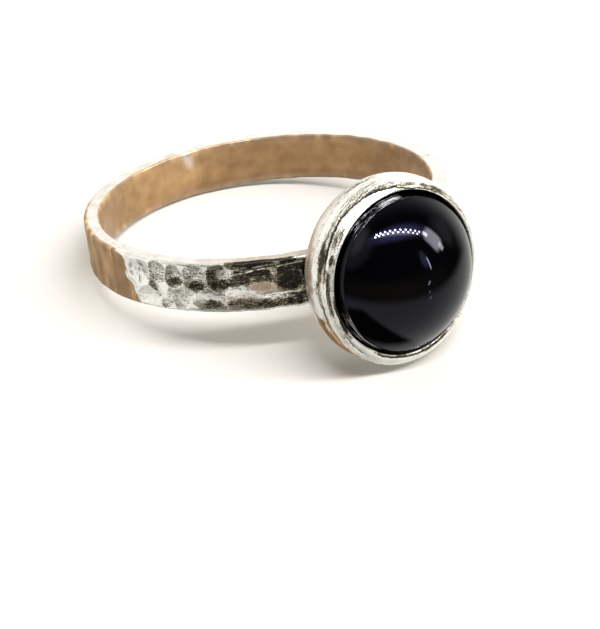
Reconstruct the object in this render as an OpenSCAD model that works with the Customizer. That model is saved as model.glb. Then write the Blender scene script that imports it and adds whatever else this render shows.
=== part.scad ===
// Round black stone on a hammered band: a ring that lies on its side.
//
// The ring is drawn about its own centre first: X points out through the
// stone and Z is the line through the finger hole. Then it is laid down as it
// rests by itself, on the far lower edge of the band and on the round back
// corner of the cup, with the stone towards -Y and the origin on the surface
// under the middle of its box.

/* [Band] */
// Diameter of the finger hole
finger_d = 17.5; // [15:0.1:21]
// Thickness of the band, from the finger to the hammered face
band_t = 0.8; // [0.7:0.05:1.4]
// Width of the band, along the finger
band_w = 2.6; // [2.4:0.1:5]
// Bevel that takes the sharpness off the band's four edges
edge_bevel = 0.08; // [0.05:0.01:0.12]

/* [Hammering] */
// Radius of the hammer's domed face
hammer_r = 2.2; // [2:0.1:3]
// Marks round the band in the upper row, which are small and close
upper_marks = 52; // [30:1:54]
// Height of the upper row above the band's middle
upper_height = 0.32; // [0.1:0.02:0.5]
// Depth of a full mark in the upper row
upper_depth = 0.1; // [0.05:0.01:0.12]
// Marks round the band in the lower row, which are larger and cut its edge
lower_marks = 37; // [20:1:40]
// Height of the lower row, below the band's middle
lower_height = -0.88; // [-1.1:0.02:-0.6]
// Depth of a full mark in the lower row
lower_depth = 0.12; // [0.05:0.01:0.14]
// How far a mark may stray from its even place
mark_stray = 0.1; // [0:0.01:0.15]

/* [Setting] */
// Outside radius of the cup that holds the stone, where it is widest
cup_r = 4.67; // [4.6:0.01:4.8]
// Height of the cup's outer wall, from its back to the line under the lip
cup_h = 2.5; // [2.3:0.05:2.8]
// How far the wall draws in from its widest place to the line
wall_taper = 0.12; // [0:0.01:0.14]
// Height of the rounded lip above that line
lip_h = 0.42; // [0.36:0.01:0.5]
// Roundness of the lip that is pushed over the stone
lip_r = 0.26; // [0.24:0.01:0.3]
// Thickness of the cup's wall, where it is widest
cup_wall = 0.34; // [0.3:0.01:0.36]
// Thickness of the cup's floor, which the stone sits on
cup_floor = 0.9; // [0.8:0.05:1.1]
// Radius of the rounded corner between the cup's back and its wall
cup_corner = 1.4; // [1:0.05:1.6]
// Angle by which the cup looks up from the band, as it is soldered
cup_lean = 3.5; // [0:0.1:5]
// Depth of the flat that is filed on the band for the cup
solder_flat = 0.15; // [0.12:0.01:0.3]

/* [Stone] */
// Height of the stone, from its flat back to the top of its dome
stone_h = 4.3; // [4.2:0.05:4.5]
// Radius of the dome
dome_r = 4.6; // [4.55:0.05:4.7]
// Bevel round the stone's flat back
stone_bevel = 0.2; // [0.1:0.05:0.3]
// Clearance between the stone and the cup, on every side
stone_gap = 0.05; // [0.04:0.01:0.06]

/* [Hidden] */

// Band
hole_r = finger_d / 2;
band_r = hole_r + band_t;
half_w = band_w / 2;

// Setting, drawn along Z from its back at zero
cup_back = band_r - solder_flat;
cup_bore = cup_r - cup_wall;
line_edge = cup_r - wall_taper;
line_r = 0.06;
lip_top = cup_h + lip_h;
lip_set_in = 0.05;

// Stone
stone_r = cup_bore - stone_gap;
stone_back = cup_floor + stone_gap;
dome_centre = stone_back + stone_h - dome_r;

// The way the ring lies: a straight line touches the band's far lower edge
// and the round corner of the leaning cup
far_edge = band_r - edge_bevel;
tube_r = cup_r - cup_corner;
corner_x = cup_back + cup_corner * cos(cup_lean) + tube_r * sin(cup_lean);
corner_z = tube_r * cos(cup_lean) - cup_corner * sin(cup_lean);
reach = [far_edge + corner_x, corner_z - half_w];
rest_tilt = atan2(reach.y, reach.x) + asin(cup_corner / norm(reach));
lift = far_edge * sin(rest_tilt) + half_w * cos(rest_tilt);

// Middle of the ring's length once it lies
front_reach = cup_back * cos(rest_tilt) + dome_centre * cos(rest_tilt + cup_lean) + dome_r;
back_reach = band_r * cos(rest_tilt) + (half_w - edge_bevel) * sin(rest_tilt);
to_middle = (front_reach - back_reach) / 2;

// No mark is struck where the cup sits on the band
bare_half_angle = acos(cup_back / band_r) + 5;
function row_of_marks(count, height, depth, seed) =
    let (stray = rands(-mark_stray, mark_stray, 2 * count, seed), force = rands(0.75, 1, count, seed + 1))
    [for (i = [0 : count - 1])
        let (turn = 360 * (i + 0.5) / count + stray[i] / band_r * 180 / PI)
        if (turn > bare_half_angle && turn < 360 - bare_half_angle)
            [turn, height + stray[count + i], depth * force[i]]];
marks = concat(
    row_of_marks(upper_marks, upper_height, upper_depth, 11),
    row_of_marks(lower_marks, lower_height, lower_depth, 23)
);

// Lays what is drawn about the ring's centre down on the surface
module at_rest() {
    translate([0, to_middle, lift])
        rotate([0, 0, -90])
            rotate([0, -rest_tilt, 0])
                children();
}

// Puts what is drawn along Z on the front of the band, leaning with the cup
module on_front() {
    translate([cup_back, 0, 0])
        rotate([0, 90 - cup_lean, 0])
            children();
}

// Half section of the plain band, with its four bevelled edges
module band_section() {
    b = edge_bevel;
    polygon([
        [hole_r, b - half_w], [hole_r + b, -half_w], [band_r - b, -half_w], [band_r, b - half_w],
        [band_r, half_w - b], [band_r - b, half_w], [hole_r + b, half_w], [hole_r, half_w - b]
    ]);
}

// The band after the first so many blows of the domed hammer
module struck_band(blows) {
    if (blows == 0) {
        rotate_extrude($fn = 180)
            band_section();
    } else {
        mark = marks[blows - 1];
        difference() {
            struck_band(blows - 1);
            rotate([0, 0, mark[0]])
                translate([band_r + hammer_r - mark[2], 0, mark[1]])
                    sphere(r = hammer_r, $fn = 48);
        }
    }
}

// Half section of the cup, from its axis outwards
module cup_section() {
    difference() {
        union() {
            square([tube_r, cup_corner]);
            polygon([[0, cup_corner], [cup_r, cup_corner], [line_edge, cup_h], [0, cup_h]]);
            intersection() {
                translate([tube_r, cup_corner])
                    circle(r = cup_corner, $fn = 64);
                square([cup_r + 1, cup_corner]);
            }
            translate([line_edge - lip_set_in - lip_r, lip_top - lip_r])
                circle(r = lip_r, $fn = 48);
        }
        // the line that is cut round the foot of the lip
        translate([line_edge, cup_h])
            circle(r = line_r, $fn = 24);
        // room for the stone, narrowed by the lip that follows its dome
        intersection() {
            translate([-1, cup_floor])
                square([cup_bore + 1, lip_top]);
            translate([0, dome_centre])
                circle(r = dome_r + stone_gap, $fn = 180);
        }
    }
}

module silver_ring() {
    color("silver")
        at_rest() {
            struck_band(len(marks));
            on_front()
                rotate_extrude($fn = 120)
                    intersection() {
                        cup_section();
                        square([cup_r + 1, lip_top]);
                    }
        }
}

module onyx_cabochon() {
    edge_r = stone_r - stone_bevel;
    color([0.03, 0.03, 0.035])
        at_rest()
            on_front()
                intersection() {
                    translate([0, 0, dome_centre])
                        sphere(r = dome_r, $fn = 120);
                    translate([0, 0, stone_back])
                        cylinder(r = stone_r, h = stone_h + 1, $fn = 120);
                    translate([0, 0, stone_back])
                        cylinder(r1 = edge_r, r2 = edge_r + stone_h + 1, h = stone_h + 1, $fn = 120);
                }
}

silver_ring();
onyx_cabochon();
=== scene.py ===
import bpy
import math
import numpy as np
from types import SimpleNamespace
from mathutils import Matrix, Vector


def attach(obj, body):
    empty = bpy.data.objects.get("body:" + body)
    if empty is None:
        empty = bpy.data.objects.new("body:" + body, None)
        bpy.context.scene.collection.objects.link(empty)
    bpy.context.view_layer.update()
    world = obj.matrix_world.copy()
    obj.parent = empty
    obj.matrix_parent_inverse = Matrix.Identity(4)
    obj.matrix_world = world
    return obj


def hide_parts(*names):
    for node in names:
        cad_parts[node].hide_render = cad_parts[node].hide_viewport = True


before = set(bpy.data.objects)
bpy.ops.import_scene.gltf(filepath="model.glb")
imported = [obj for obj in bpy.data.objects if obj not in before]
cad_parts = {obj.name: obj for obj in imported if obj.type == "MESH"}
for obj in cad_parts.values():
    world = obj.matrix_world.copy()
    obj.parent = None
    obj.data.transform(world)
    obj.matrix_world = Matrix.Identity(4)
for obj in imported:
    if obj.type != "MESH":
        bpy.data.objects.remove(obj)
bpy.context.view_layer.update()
print("solids loaded")

# The ring is worked out in mm about its own centre, x through the stone and z
# along the finger hole, and then laid down the way it rests.
ringPose = {
    "tilt": 9.1496,      # degrees the band leans back
    "middle": 2.44607,   # mm from the ring's centre to the middle of its length
    "lift": 2.78932,     # mm from the floor to the ring's centre
}


def layDown(points):
    x, y, z = np.moveaxis(np.asarray(points, float), -1, 0)
    tilt = math.radians(ringPose["tilt"])
    back = x * math.cos(tilt) - z * math.sin(tilt)
    up = x * math.sin(tilt) + z * math.cos(tilt)
    return np.stack([y, ringPose["middle"] - back, ringPose["lift"] + up], -1) / 1000


def linear(hexText):
    channels = [int(hexText[k:k + 2], 16) / 255 for k in (0, 2, 4)]
    return (*[v / 12.92 if v <= 0.04045 else ((v + 0.055) / 1.055) ** 2.4 for v in channels], 1.0)


def addNode(tree, kind, inputs=None, output=0, **settings):
    # hands back one of the new node's outputs, for the next node's inputs
    node = tree.nodes.new("ShaderNode" + kind)
    for name, value in settings.items():
        setattr(node, name, value)
    for name, value in (inputs or {}).items():
        if isinstance(value, bpy.types.NodeSocket):
            tree.links.new(value, node.inputs[name])
        else:
            node.inputs[name].default_value = value
    return node.outputs[output] if len(node.outputs) else None


def newMaterial(name):
    mat = bpy.data.materials.new(name)
    mat.use_nodes = True
    mat.node_tree.nodes.clear()
    return mat, mat.node_tree


def smooth(low, high, v):
    # eases from 0 at low to 1 at high, which may be the smaller one
    t = np.clip((v - low) / (high - low), 0, 1)
    return t * t * (3 - 2 * t)


def window(v, edges):
    # 1 between the two inner edges, easing to 0 at the outer two
    start, full, fading, end = edges
    return smooth(start, full, v) * smooth(end, fading, v)


def line(gap, half):
    # 1 on a line and fading on both sides of it
    return np.exp(-(gap / half) ** 2)


def spot(across, over, halfWide, halfHigh, edge, rag=0):
    # 1 inside an oval and 0 outside it, eased over its ragged edge
    return 1 - smooth(*edge, np.hypot(across / halfWide, over / halfHigh) + rag)


def fold(degrees):
    return np.mod(degrees + 180, 360) - 180


def keyed(degrees, keys):
    # a value round the cup, eased between the places it is given at (degrees: value)
    places = sorted(keys)
    xs = np.array([places[-1] - 360, *places, places[0] + 360], float)
    ys = np.array([keys[places[-1]], *[keys[p] for p in places], keys[places[0]]], float)
    a = np.mod(degrees - xs[0], 360) + xs[0]
    i = np.clip(np.searchsorted(xs, a, side="right") - 1, 0, len(xs) - 2)
    t = smooth(0, 1, (a - xs[i]) / (xs[i + 1] - xs[i]))
    return ys[i] * (1 - t) + ys[i + 1] * t


def softNoise(u, v, layers):
    # smooth random relief over unrolled metal; each layer has a height, the size of
    # its lumps along and across in mm, and a seed
    cells, offset, total = 257, 500, 0   # the offset keeps every place positive
    for height, along, across, seed in layers:
        grid = np.random.default_rng(seed).uniform(-1, 1, (cells, cells))
        x, y = u / along + offset, v / across + offset
        i, j = np.floor(x).astype(int), np.floor(y).astype(int)
        fx, fy = smooth(0, 1, x - i), smooth(0, 1, y - j)
        i0, i1, j0, j1 = i % cells, (i + 1) % cells, j % cells, (j + 1) % cells
        near = grid[i0, j0] * (1 - fx) + grid[i1, j0] * fx
        far = grid[i0, j1] * (1 - fx) + grid[i1, j1] * fx
        total = total + height * (near * (1 - fy) + far * fy)
    return total


def gridMesh(name, points, material, layers, unrolled, closeAcross=False):
    # points[row][across] in mm about the ring's centre; the rows close on themselves.
    # unrolled holds the mm along and across the metal, kept at the corners of the
    # faces so that a grain laid out on it has no torn seam.
    rows, across = points.shape[:2]
    mesh = bpy.data.meshes.new(name)
    i, j = np.meshgrid(np.arange(rows), np.arange(across if closeAcross else across - 1), indexing="ij")
    i2, j2 = i + 1, j + 1
    corner, nextCorner = i * across, i2 % rows * across
    quads = np.stack([corner + j, nextCorner + j, nextCorner + j2 % across, corner + j2 % across], -1)
    mesh.from_pydata(layDown(points).reshape(-1, 3).tolist(), [], quads.reshape(-1, 4).tolist())
    for layer, values in layers.items():
        data = mesh.attributes.new(layer, "FLOAT", "POINT")
        data.data.foreach_set("value", np.ascontiguousarray(values, np.float32).reshape(-1))
    along, over = unrolled
    corners = np.zeros(i.shape + (4, 3), np.float32)
    for k, (a, b) in enumerate(((i, j), (i2, j), (i2, j2), (i, j2))):
        corners[..., k, 0], corners[..., k, 1] = along[a], over[b]
    data = mesh.attributes.new("unrolled", "FLOAT_VECTOR", "CORNER")
    data.data.foreach_set("vector", corners.reshape(-1))
    mesh.materials.append(material)
    mesh.polygons.foreach_set("use_smooth", [True] * len(mesh.polygons))
    mesh.update()
    piece = bpy.data.objects.new(name, mesh)
    bpy.context.scene.collection.objects.link(piece)
    return piece


# Sterling silver, forged and filed by hand, then blackened and rubbed back: bright
# on every ridge, specks of grey to charcoal left in the hollows, warm and smooth
# where a brown reflection of the surroundings is painted in as a film. Lengths in mm.
silverLook = {
    "bright": "faf9f3",
    "handled": "d6d3c4",
    "olive": "918a74",      # thin blackening, half rubbed off
    "charcoal": "302e2b",   # blackening that stayed
    # colours of the painted brown reflection, light and dark
    "warmLight": "ba9053",
    "warmDark": "7b5415",
    # grains: length, width, detail
    "speck": (0.09, 0.09, 2.0),
    "streak": (0.36, 0.09, 2.0),   # left by the hammer's face
    "cloud": (0.8, 0.8, 3.0),      # clouds in the painted brown reflection
    "speckPull": 1.5,       # how far specks and streaks scatter the blackening
    "streakPull": 1.3,
    "cloudPull": 0.9,       # how far clouds shift the painted brown from light to dark
    # where the blackening starts and is whole: scattered, even, and charcoal
    "stays": (0.12, 0.72),
    "faint": (0.02, 0.25),
    "deep": (0.5, 1.1),
    "handling": (0.45, 0.68, 0.4),  # clouds from and to which it looks handled, and how much
    "brightRough": 0.24,
    "cleanMetal": 0.95,     # satin silver scatters a little light
    "warmMetal": 0.27,      # where the brown reflection is painted in, most of it is scattered as plain colour
    "dullRough": 0.42,
    "satinRough": 0.2,      # added where the metal was filed and not polished
    "satinMetal": 0.17,     # and how much of its mirror the filing takes
    "grainDepth": 0.006,
    "grainStrength": (0.15, 0.8, 0.5),  # on clean metal, on black, and from how much it is black
    "filmGloss": 0.06,      # the painted brown film has hardly any gloss of its own
}


def makeSilver():
    look = silverLook
    mat, tree = newMaterial("sterling silver, hammered and blackened")
    place = addNode(tree, "Attribute", output="Vector", attribute_name="unrolled")
    dirt, warm, tone, satin = [
        addNode(tree, "Attribute", output="Fac", attribute_name=layer)
        for layer in ("dirt", "warm", "tone", "satin")]
    grains = []
    for along, over, detail in (look["speck"], look["streak"], look["cloud"]):
        spread = addNode(tree, "VectorMath", {0: place, 1: (1 / along, 1 / over, 1)}, operation="MULTIPLY")
        grains.append(addNode(tree, "TexNoise", {"Vector": spread, "Scale": 1.0, "Detail": detail}, "Fac"))
    speck, streak, cloud = grains
    pulls = []   # each grain pulls to both sides of its middle
    for grain, pull in zip(grains, (look["speckPull"], look["streakPull"], look["cloudPull"])):
        pulls.append(addNode(tree, "Math", {0: grain, 1: pull, 2: -pull / 2}, operation="MULTIPLY_ADD"))
    # specks and streaks decide where the blackening stays; the more of it, the closer they stand
    uneven = addNode(tree, "Math", {0: pulls[0], 1: pulls[1]}, operation="ADD")
    held = addNode(tree, "Math", {0: dirt, 1: uneven}, operation="ADD")
    eased = []
    for value, (low, high) in ((held, look["stays"]), (dirt, look["faint"]), (held, look["deep"])):
        ends = {"Value": value, "From Min": low, "From Max": high}
        eased.append(addNode(tree, "MapRange", ends, interpolation_type="SMOOTHSTEP"))
    stays, faint, deep = eased
    cover = addNode(tree, "Math", {0: stays, 1: faint}, operation="MULTIPLY")
    # a colour mix has its colours in sockets 6 and 7 and its result in 2
    olive, charcoal, warmLight, warmDark, bright, handled = [
        linear(look[name]) for name in ("olive", "charcoal", "warmLight", "warmDark", "bright", "handled")]
    dark = addNode(tree, "Mix", {0: deep, 6: olive, 7: charcoal}, 2, data_type="RGBA")
    # amber is the painted brown reflection from light to dark, laid over the clean metal where warm
    toned = addNode(tree, "Math", {0: tone, 1: pulls[2]}, operation="ADD", use_clamp=True)
    amber = addNode(tree, "Mix", {0: toned, 6: warmLight, 7: warmDark}, 2, data_type="RGBA")
    low, high, most = look["handling"]
    patchy = addNode(tree, "MapRange", {"Value": cloud, "From Min": low, "From Max": high, "To Max": most})
    clean = addNode(tree, "Mix", {0: patchy, 6: bright, 7: handled}, 2, data_type="RGBA")
    base = addNode(tree, "Mix", {0: warm, 6: clean, 7: amber}, 2, data_type="RGBA")
    colour = addNode(tree, "Mix", {0: cover, 6: base, 7: dark}, 2, data_type="RGBA")
    rough = addNode(tree, "MapRange", {
        "Value": cover, "To Min": look["brightRough"], "To Max": look["dullRough"]})
    rough = addNode(tree, "Math", {0: satin, 1: look["satinRough"], 2: rough}, operation="MULTIPLY_ADD")
    metal = addNode(tree, "MapRange", {
        "Value": warm, "To Min": look["cleanMetal"], "To Max": look["warmMetal"]})
    metal = addNode(tree, "Math", {0: satin, 1: -look["satinMetal"], 2: metal}, operation="MULTIPLY_ADD")
    relief = addNode(tree, "Math", {0: speck, 1: streak}, operation="ADD")
    least, most, black = look["grainStrength"]
    strength = addNode(tree, "MapRange", {"Value": dirt, "From Max": black, "To Min": least, "To Max": most})
    normal = addNode(tree, "Bump", {
        "Height": relief, "Strength": strength, "Distance": look["grainDepth"] / 1000})
    shader = addNode(tree, "BsdfPrincipled", {
        "Base Color": colour, "Metallic": metal, "Roughness": rough,
        "Specular IOR Level": look["filmGloss"], "Normal": normal})
    addNode(tree, "OutputMaterial", {"Surface": shader})
    return mat


silver = makeSilver()

# The hammered band. Places are degrees round from the stone and mm above the middle
# of the band's width; windows are four degrees or mm: start, full, fading, end.
bandSpec = {
    "holeRadius": 8.75,
    "thickness": 0.8,
    "width": 2.6,
    "edgeRound": 0.12,
    "front": (-88, -20),   # the part that faces the front
    "closeSteps": 330,     # sections over that part, for its fine marks
    "plainSteps": 760,     # sections over the rest
    "faceSteps": 56,
    # marks in front: degrees, mm, half width, half height, depth, how much blackening stayed
    "marks": [
        (-77.8, 0.50, 0.44, 0.56, 0.09, 0.04), (-73.8, 0.52, 0.44, 0.74, 0.09, 0.08),
        (-68.3, 0.64, 0.56, 0.66, 0.085, 0.4), (-62.3, 0.56, 0.55, 0.70, 0.09, 0.42),
        (-55.2, 0.45, 0.74, 0.80, 0.10, 0.44), (-47.9, 0.48, 0.70, 0.78, 0.11, 0.5),
        (-42.0, 0.38, 0.58, 0.54, 0.05, 0.56), (-35.5, 0.25, 0.98, 0.72, 0.035, 0.66),
        (-27.2, 0.22, 0.76, 0.78, 0.04, 0.76), (-36.0, 1.26, 1.90, 0.30, 0.05, 0.7),
        (-80.0, -0.50, 0.40, 0.5, 0.06, 0.0), (-70.4, -0.12, 0.42, 0.46, 0.06, 0.38),
        (-72.4, -0.68, 0.74, 0.52, 0.08, 0.06), (-65.4, -0.98, 0.40, 0.34, 0.05, 0.3),
        (-60.4, -0.50, 0.90, 0.64, 0.07, 0.22), (-51.0, -0.56, 0.94, 0.70, 0.07, 0.2),
        (-40.2, -0.56, 1.12, 0.74, 0.08, 0.24), (-29.6, -0.86, 1.12, 0.52, 0.08, 0.5),
    ],
    "deepen": 1.35,      # the marks in front are as deep again by a third
    # the other marks stand in rows: how many, mm, half width, half height, depth
    "rows": [(47, 0.45, 0.5, 0.62, 0.1), (36, -0.72, 0.66, 0.52, 0.11)],
    "markSeed": 7,
    "placedMarks": (-84, -22),    # no mark of the rows stands among the placed ones
    "underCup": 14,               # or under the cup, this far to both sides
    "shallow": (-132, -80, 0.5),  # on the smooth side they are rubbed down, and by how much
    "besideCup": (40, 0.8),       # and near the cup they are black
    # where more (or less) blackening stayed, and, beside the cup, painted shadow of the cup: degrees, mm, half
    # width, half height, by how much
    "patches": [
        (-68.4, 0.32, 0.36, 0.2, 0.15), (-62.0, 0.27, 0.46, 0.27, 0.5), (-54.6, 0.06, 0.54, 0.26, 0.55),
        (-49.8, 0.50, 0.32, 0.60, 0.42), (-46.4, 0.16, 0.48, 0.26, 0.45), (-42.3, 0.34, 0.56, 0.38, 0.25),
        (-36.5, 0.50, 0.95, 0.42, 0.14), (-29.0, 0.28, 0.85, 0.66, 0.18), (-50.6, -0.90, 0.46, 0.26, 0.6),
        (-39.8, -0.90, 1.02, 0.26, 0.5), (-29.6, -1.00, 1.05, 0.24, 0.25), (-34.5, 1.15, 2.1, 0.22, 0.45),
        (-35.0, 0.86, 2.3, 0.24, 0.5), (-77.0, 0.50, 0.16, 0.26, 0.25), (-61.0, -0.45, 0.4, 0.25, 0.18),
        (-45.0, 0.78, 0.42, 0.28, -0.6), (-40.6, -0.20, 0.85, 0.26, -0.5), (-53.4, -0.42, 0.4, 0.3, -0.3),
        (-35.0, -0.04, 0.66, 0.28, -0.6), (-57.5, 1.0, 0.4, 0.2, -0.4), (-33.5, -0.50, 0.8, 0.11, -0.6),
        # the two patches at -21.5 degrees beside the cup are painted shadow of the cup, with blackening
        (-21.5, 0.30, 1.1, 1.2, 0.85), (-21.5, -0.9, 0.8, 0.5, 0.5), (-25.0, -0.45, 0.5, 0.1, -0.5),
    ],
    # raised bright scratches: from (degrees, mm) to (degrees, mm), half width
    "scratches": [
        ((-36.6, 0.97), (-29.0, 1.12), 0.048), ((-42.6, 0.68), (-37.2, 0.88), 0.046),
        ((-36.0, 0.87), (-29.0, 0.98), 0.04), ((-45.0, 1.17), (-38.5, 1.05), 0.022),
        ((-29.0, 0.98), (-23.5, 1.02), 0.03), ((-30.0, 0.86), (-30.6, -0.2), 0.02),
        ((-45.5, -0.12), (-42.0, 0.06), 0.03), ((-36.5, -0.30), (-33.5, -0.50), 0.03),
        ((-33.5, -0.50), (-25.0, -0.47), 0.03),
    ],
    "scratchBody": 0.72,  # what of a scratch is left where it is weakest
    # dark folds between marks, blackening held in them and painted shade of the hollow: from, to, half width,
    # amount, depth
    "darkFolds": [
        ((-75.3, 1.05), (-73.6, 0.62), 0.15, 0.42, 0.05), ((-73.4, 0.6), (-72.0, 0.2), 0.15, 0.36, 0.05),
        ((-71.0, 0.0), (-68.2, -0.62), 0.15, 0.38, 0.05), ((-44.0, 1.02), (-30.0, 0.98), 0.05, 0.5, 0),
        ((-45.0, 1.22), (-24.0, 1.22), 0.06, 0.4, 0),
    ],
    "rosyReflection": (-35.0, -0.04, 0.70, 0.29),  # a rosy painted reflection inside the darkest mark
    # edge of the smooth side: mm, degrees, and how wide it fades
    "smoothEdge": [
        (-1.3, -75.2), (-1.0, -76.5), (-0.7, -77.0), (-0.35, -77.7), (-0.06, -80.4),
        (0.2, -80.6), (0.46, -79.6), (0.8, -80.4), (1.12, -81.5), (1.3, -85.0)],
    "smoothFade": 1.3,
    "smoothEnd": (-158, -128),         # where the smooth side ends, behind
    "lowerRim": (-70, -62, -22, -16),  # window of the raised lower rim
    "cleanRim": (-90, -80, -22, -15),  # window of the lower edge that is rubbed clean
    "nearCup": (-62, -38, -16, -8),    # window of the darker top edge beside the cup
    "rim": (-1.19, 0.05),              # its height and half width
    "seam": 172.0,       # degrees round where the strip's ends are soldered
    "seamHalf": 0.05,
    # how far each stands out in mm, or lies deep where it is below zero
    "raised": {
        "scratch": 0.022, "crest": 0.03, "rim": 0.02, "seam": -0.02, "seamInside": -0.03, "nicks": -0.03},
    "patchFade": (0.55, 1.35),         # shares of a patch's size where it starts to fade and ends
    "rosyFade": (0.6, 1.2),
    "beforeSeam": (95, 104, 171, 173),       # the two windows inside the band
    "afterSeam": (172, 176, 205, 232),
    "highlightWedge": (176.5, 1.4, 1.5),        # a painted highlight, a bright wedge behind the seam: degrees, lean, half width
    # depths of a mark at which blackening starts to stay and is whole, in front and elsewhere
    "filledFront": (-86, -20),
    "filled": ((0.0, 0.03), (0.015, 0.085)),
    # how black each part is, and what wear takes off again
    "black": {"top": 0.1, "topRubbed": 0.1, "topNearCup": 0.12, "seamInside": 0.12, "seamOutside": 0.4},
    "wornOff": {"ridges": 0.08, "leftRidges": 0.75, "scratches": 0.95, "lowerEdge": 0.8},
    # how much warm brown each part has, a painted reflection of the surroundings inside and on the smooth side
    # and a thin tarnish on the top face, and how dark it is
    "tarnishAndReflection": {
        "inside": 0.92, "innerEdge": 0.85, "smoothSide": 0.9, "rosyReflection": 0.75, "highlightWedge": -0.6,
        "top": 0.27, "topRubbed": 0.08, "topNearCup": 0.3},
    # the foot and the inner edges of the inside, most before the seam, are darkened as painted shade
    "tones": {
        "all": 0.62, "inside": 0.15, "afterSeam": -0.15, "back": 0.45, "foot": 0.3, "footBeforeSeam": 0.5,
        "outside": -0.05, "lower": 0.3, "highlightWedge": -0.6, "innerEdge": 0.5, "rosyReflection": 0.5},
    "satin": {"top": 0.5, "smoothSide": 1.25},
    # unevenness: height, size of its lumps round and across, seed
    "noise": {
        "markRound": [(0.10, 0.55, 0.45, 41), (0.035, 0.2, 0.2, 43)],
        "markHigh": [(0.09, 0.45, 0.55, 42), (0.035, 0.2, 0.2, 44)],
        "fine": [(0.004, 0.17, 0.10, 51), (0.003, 0.09, 0.09, 52)],
        "lumps": [(0.010, 0.9, 0.7, 53)],
        "scratchBend": [(0.03, 0.5, 0.5, 54)],
        "scratchBreak": [(0.28, 0.3, 0.3, 55)],
        "smoothEdge": [(0.7, 0.3, 0.5, 56)],
        "smoothEnd": [(14, 1.6, 0.9, 66)],
        "foldBend": [(0.05, 0.3, 0.3, 65)],
        "inside": [(0.012, 2.5, 1.8, 57)],
        "topWave": [(0.020, 0.8, 1, 58)],
        "topRipple": [(0.010, 0.3, 1, 59)],
        "topNicks": [(1, 0.75, 1, 64)],
        "patchEdge": [(0.25, 0.25, 0.25, 60)],
        "rubbed": [(1, 0.5, 0.5, 63)],
        "tarnish": [(0.25, 3.0, 1.2, 61)],
        "smoothTarnish": [(0.8, 0.45, 1.4, 62)],
    },
}


def strikeMarks():
    s = bandSpec
    rng = np.random.default_rng(s["markSeed"])
    marks = [(*mark[:4], mark[4] * s["deepen"], mark[5]) for mark in s["marks"]]
    shallowFrom, shallowTo, shallow = s["shallow"]
    beside, black = s["besideCup"]
    for row, (count, z, wide, high, depth) in enumerate(s["rows"]):
        for k in range(count):
            degrees = 360 * (k + 0.5 * row) / count - 180 + rng.uniform(-1.3, 1.3)
            place = (degrees, z + rng.uniform(-0.14, 0.14))
            size = (wide * rng.uniform(0.8, 1.2), high * rng.uniform(0.85, 1.1), depth * rng.uniform(0.75, 1.1))
            stays = rng.uniform(0.1, 0.6)
            if s["placedMarks"][0] < degrees < s["placedMarks"][1] or abs(degrees) < s["underCup"]:
                continue
            if shallowFrom < degrees < shallowTo:
                size, stays = (*size[:2], size[2] * shallow), 0.0
            elif abs(degrees) < beside:
                stays = black
            marks.append((*place, *size, stays))
    return marks


def bandSection():
    # radius, height, how much of a mark's depth it takes, kind of surface
    s = bandSpec
    hole, half, e = s["holeRadius"], s["width"] / 2, s["edgeRound"]
    outer = hole + s["thickness"]
    flat = s["thickness"] - 2 * e
    arc = np.linspace(0, math.pi / 2, 4)
    section = [(outer, z, 1.0, "face") for z in np.linspace(e - half, half - e, s["faceSteps"])]
    section += [(outer - e + e * math.cos(a), half - e + e * math.sin(a), 1.0, "edge") for a in arc[1:]]
    section += [(outer - e - flat * t, half, 1 - t, "side") for t in (0.2, 0.45, 0.7, 1.0)]
    section += [(hole + e - e * math.sin(a), half - e + e * math.cos(a), 0.0, "innerEdge") for a in arc[1:]]
    section += [(hole, z, 0.0, "hole") for z in np.linspace(half - e, e - half, 9)[1:-1]]
    section += [(hole + e - e * math.cos(a), e - half - e * math.sin(a), 0.0, "innerEdge") for a in arc]
    section += [(hole + e + flat * t, -half, t, "side") for t in (0.3, 0.6)]
    section += [(outer - e + e * math.sin(a), e - half - e * math.cos(a), 1.0, "edge") for a in arc[:-1]]
    return section


def bandPlaces():
    # every point of the band by where it is, before anything is done to it
    s = bandSpec
    section = bandSection()
    at = SimpleNamespace(hole=s["holeRadius"], outer=s["holeRadius"] + s["thickness"])
    at.r0, z0, at.share = np.array([row[:3] for row in section]).T
    at.kind = np.array([row[3] for row in section])
    at.over = np.concatenate([[0], np.cumsum(np.hypot(np.diff(at.r0), np.diff(z0)))])
    at.over = np.append(at.over, at.over[-1] + math.hypot(at.r0[0] - at.r0[-1], z0[0] - z0[-1]))
    first, last = [math.radians(end) for end in s["front"]]
    at.turns = np.concatenate([
        np.linspace(first, last, s["closeSteps"], endpoint=False),
        np.linspace(last, first + 2 * math.pi, s["plainSteps"], endpoint=False)])
    shape = (len(at.turns), len(at.r0))
    at.turn = np.broadcast_to(at.turns[:, None], shape)
    at.z = np.broadcast_to(z0, shape)
    at.degrees = np.degrees(np.mod(at.turn + math.pi, 2 * math.pi) - math.pi)
    at.round = np.mod(at.degrees, 360)
    at.mm = at.turn * at.outer
    at.mmInside = at.turn * at.hole
    at.perDegree = at.outer * math.pi / 180
    at.outside = np.broadcast_to(np.isin(at.kind, ("face", "edge")), shape)
    at.inside = np.broadcast_to(at.kind == "hole", shape)
    at.innerEdge = np.broadcast_to(at.kind == "innerEdge", shape)
    at.topSide = (at.kind == "side") & (at.z > 0)
    return at


def strokeGap(at, bend, start, stop):
    # mm from every place to a stroke between two places (degrees, mm) that is bent a little
    u, w = (at.degrees - start[0]) * at.perDegree, at.z - start[1] - bend
    du, dw = (stop[0] - start[0]) * at.perDegree, stop[1] - start[1]
    t = np.clip((u * du + w * dw) / (du * du + dw * dw), 0, 1)
    return np.hypot(u - t * du, w - t * dw)


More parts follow.
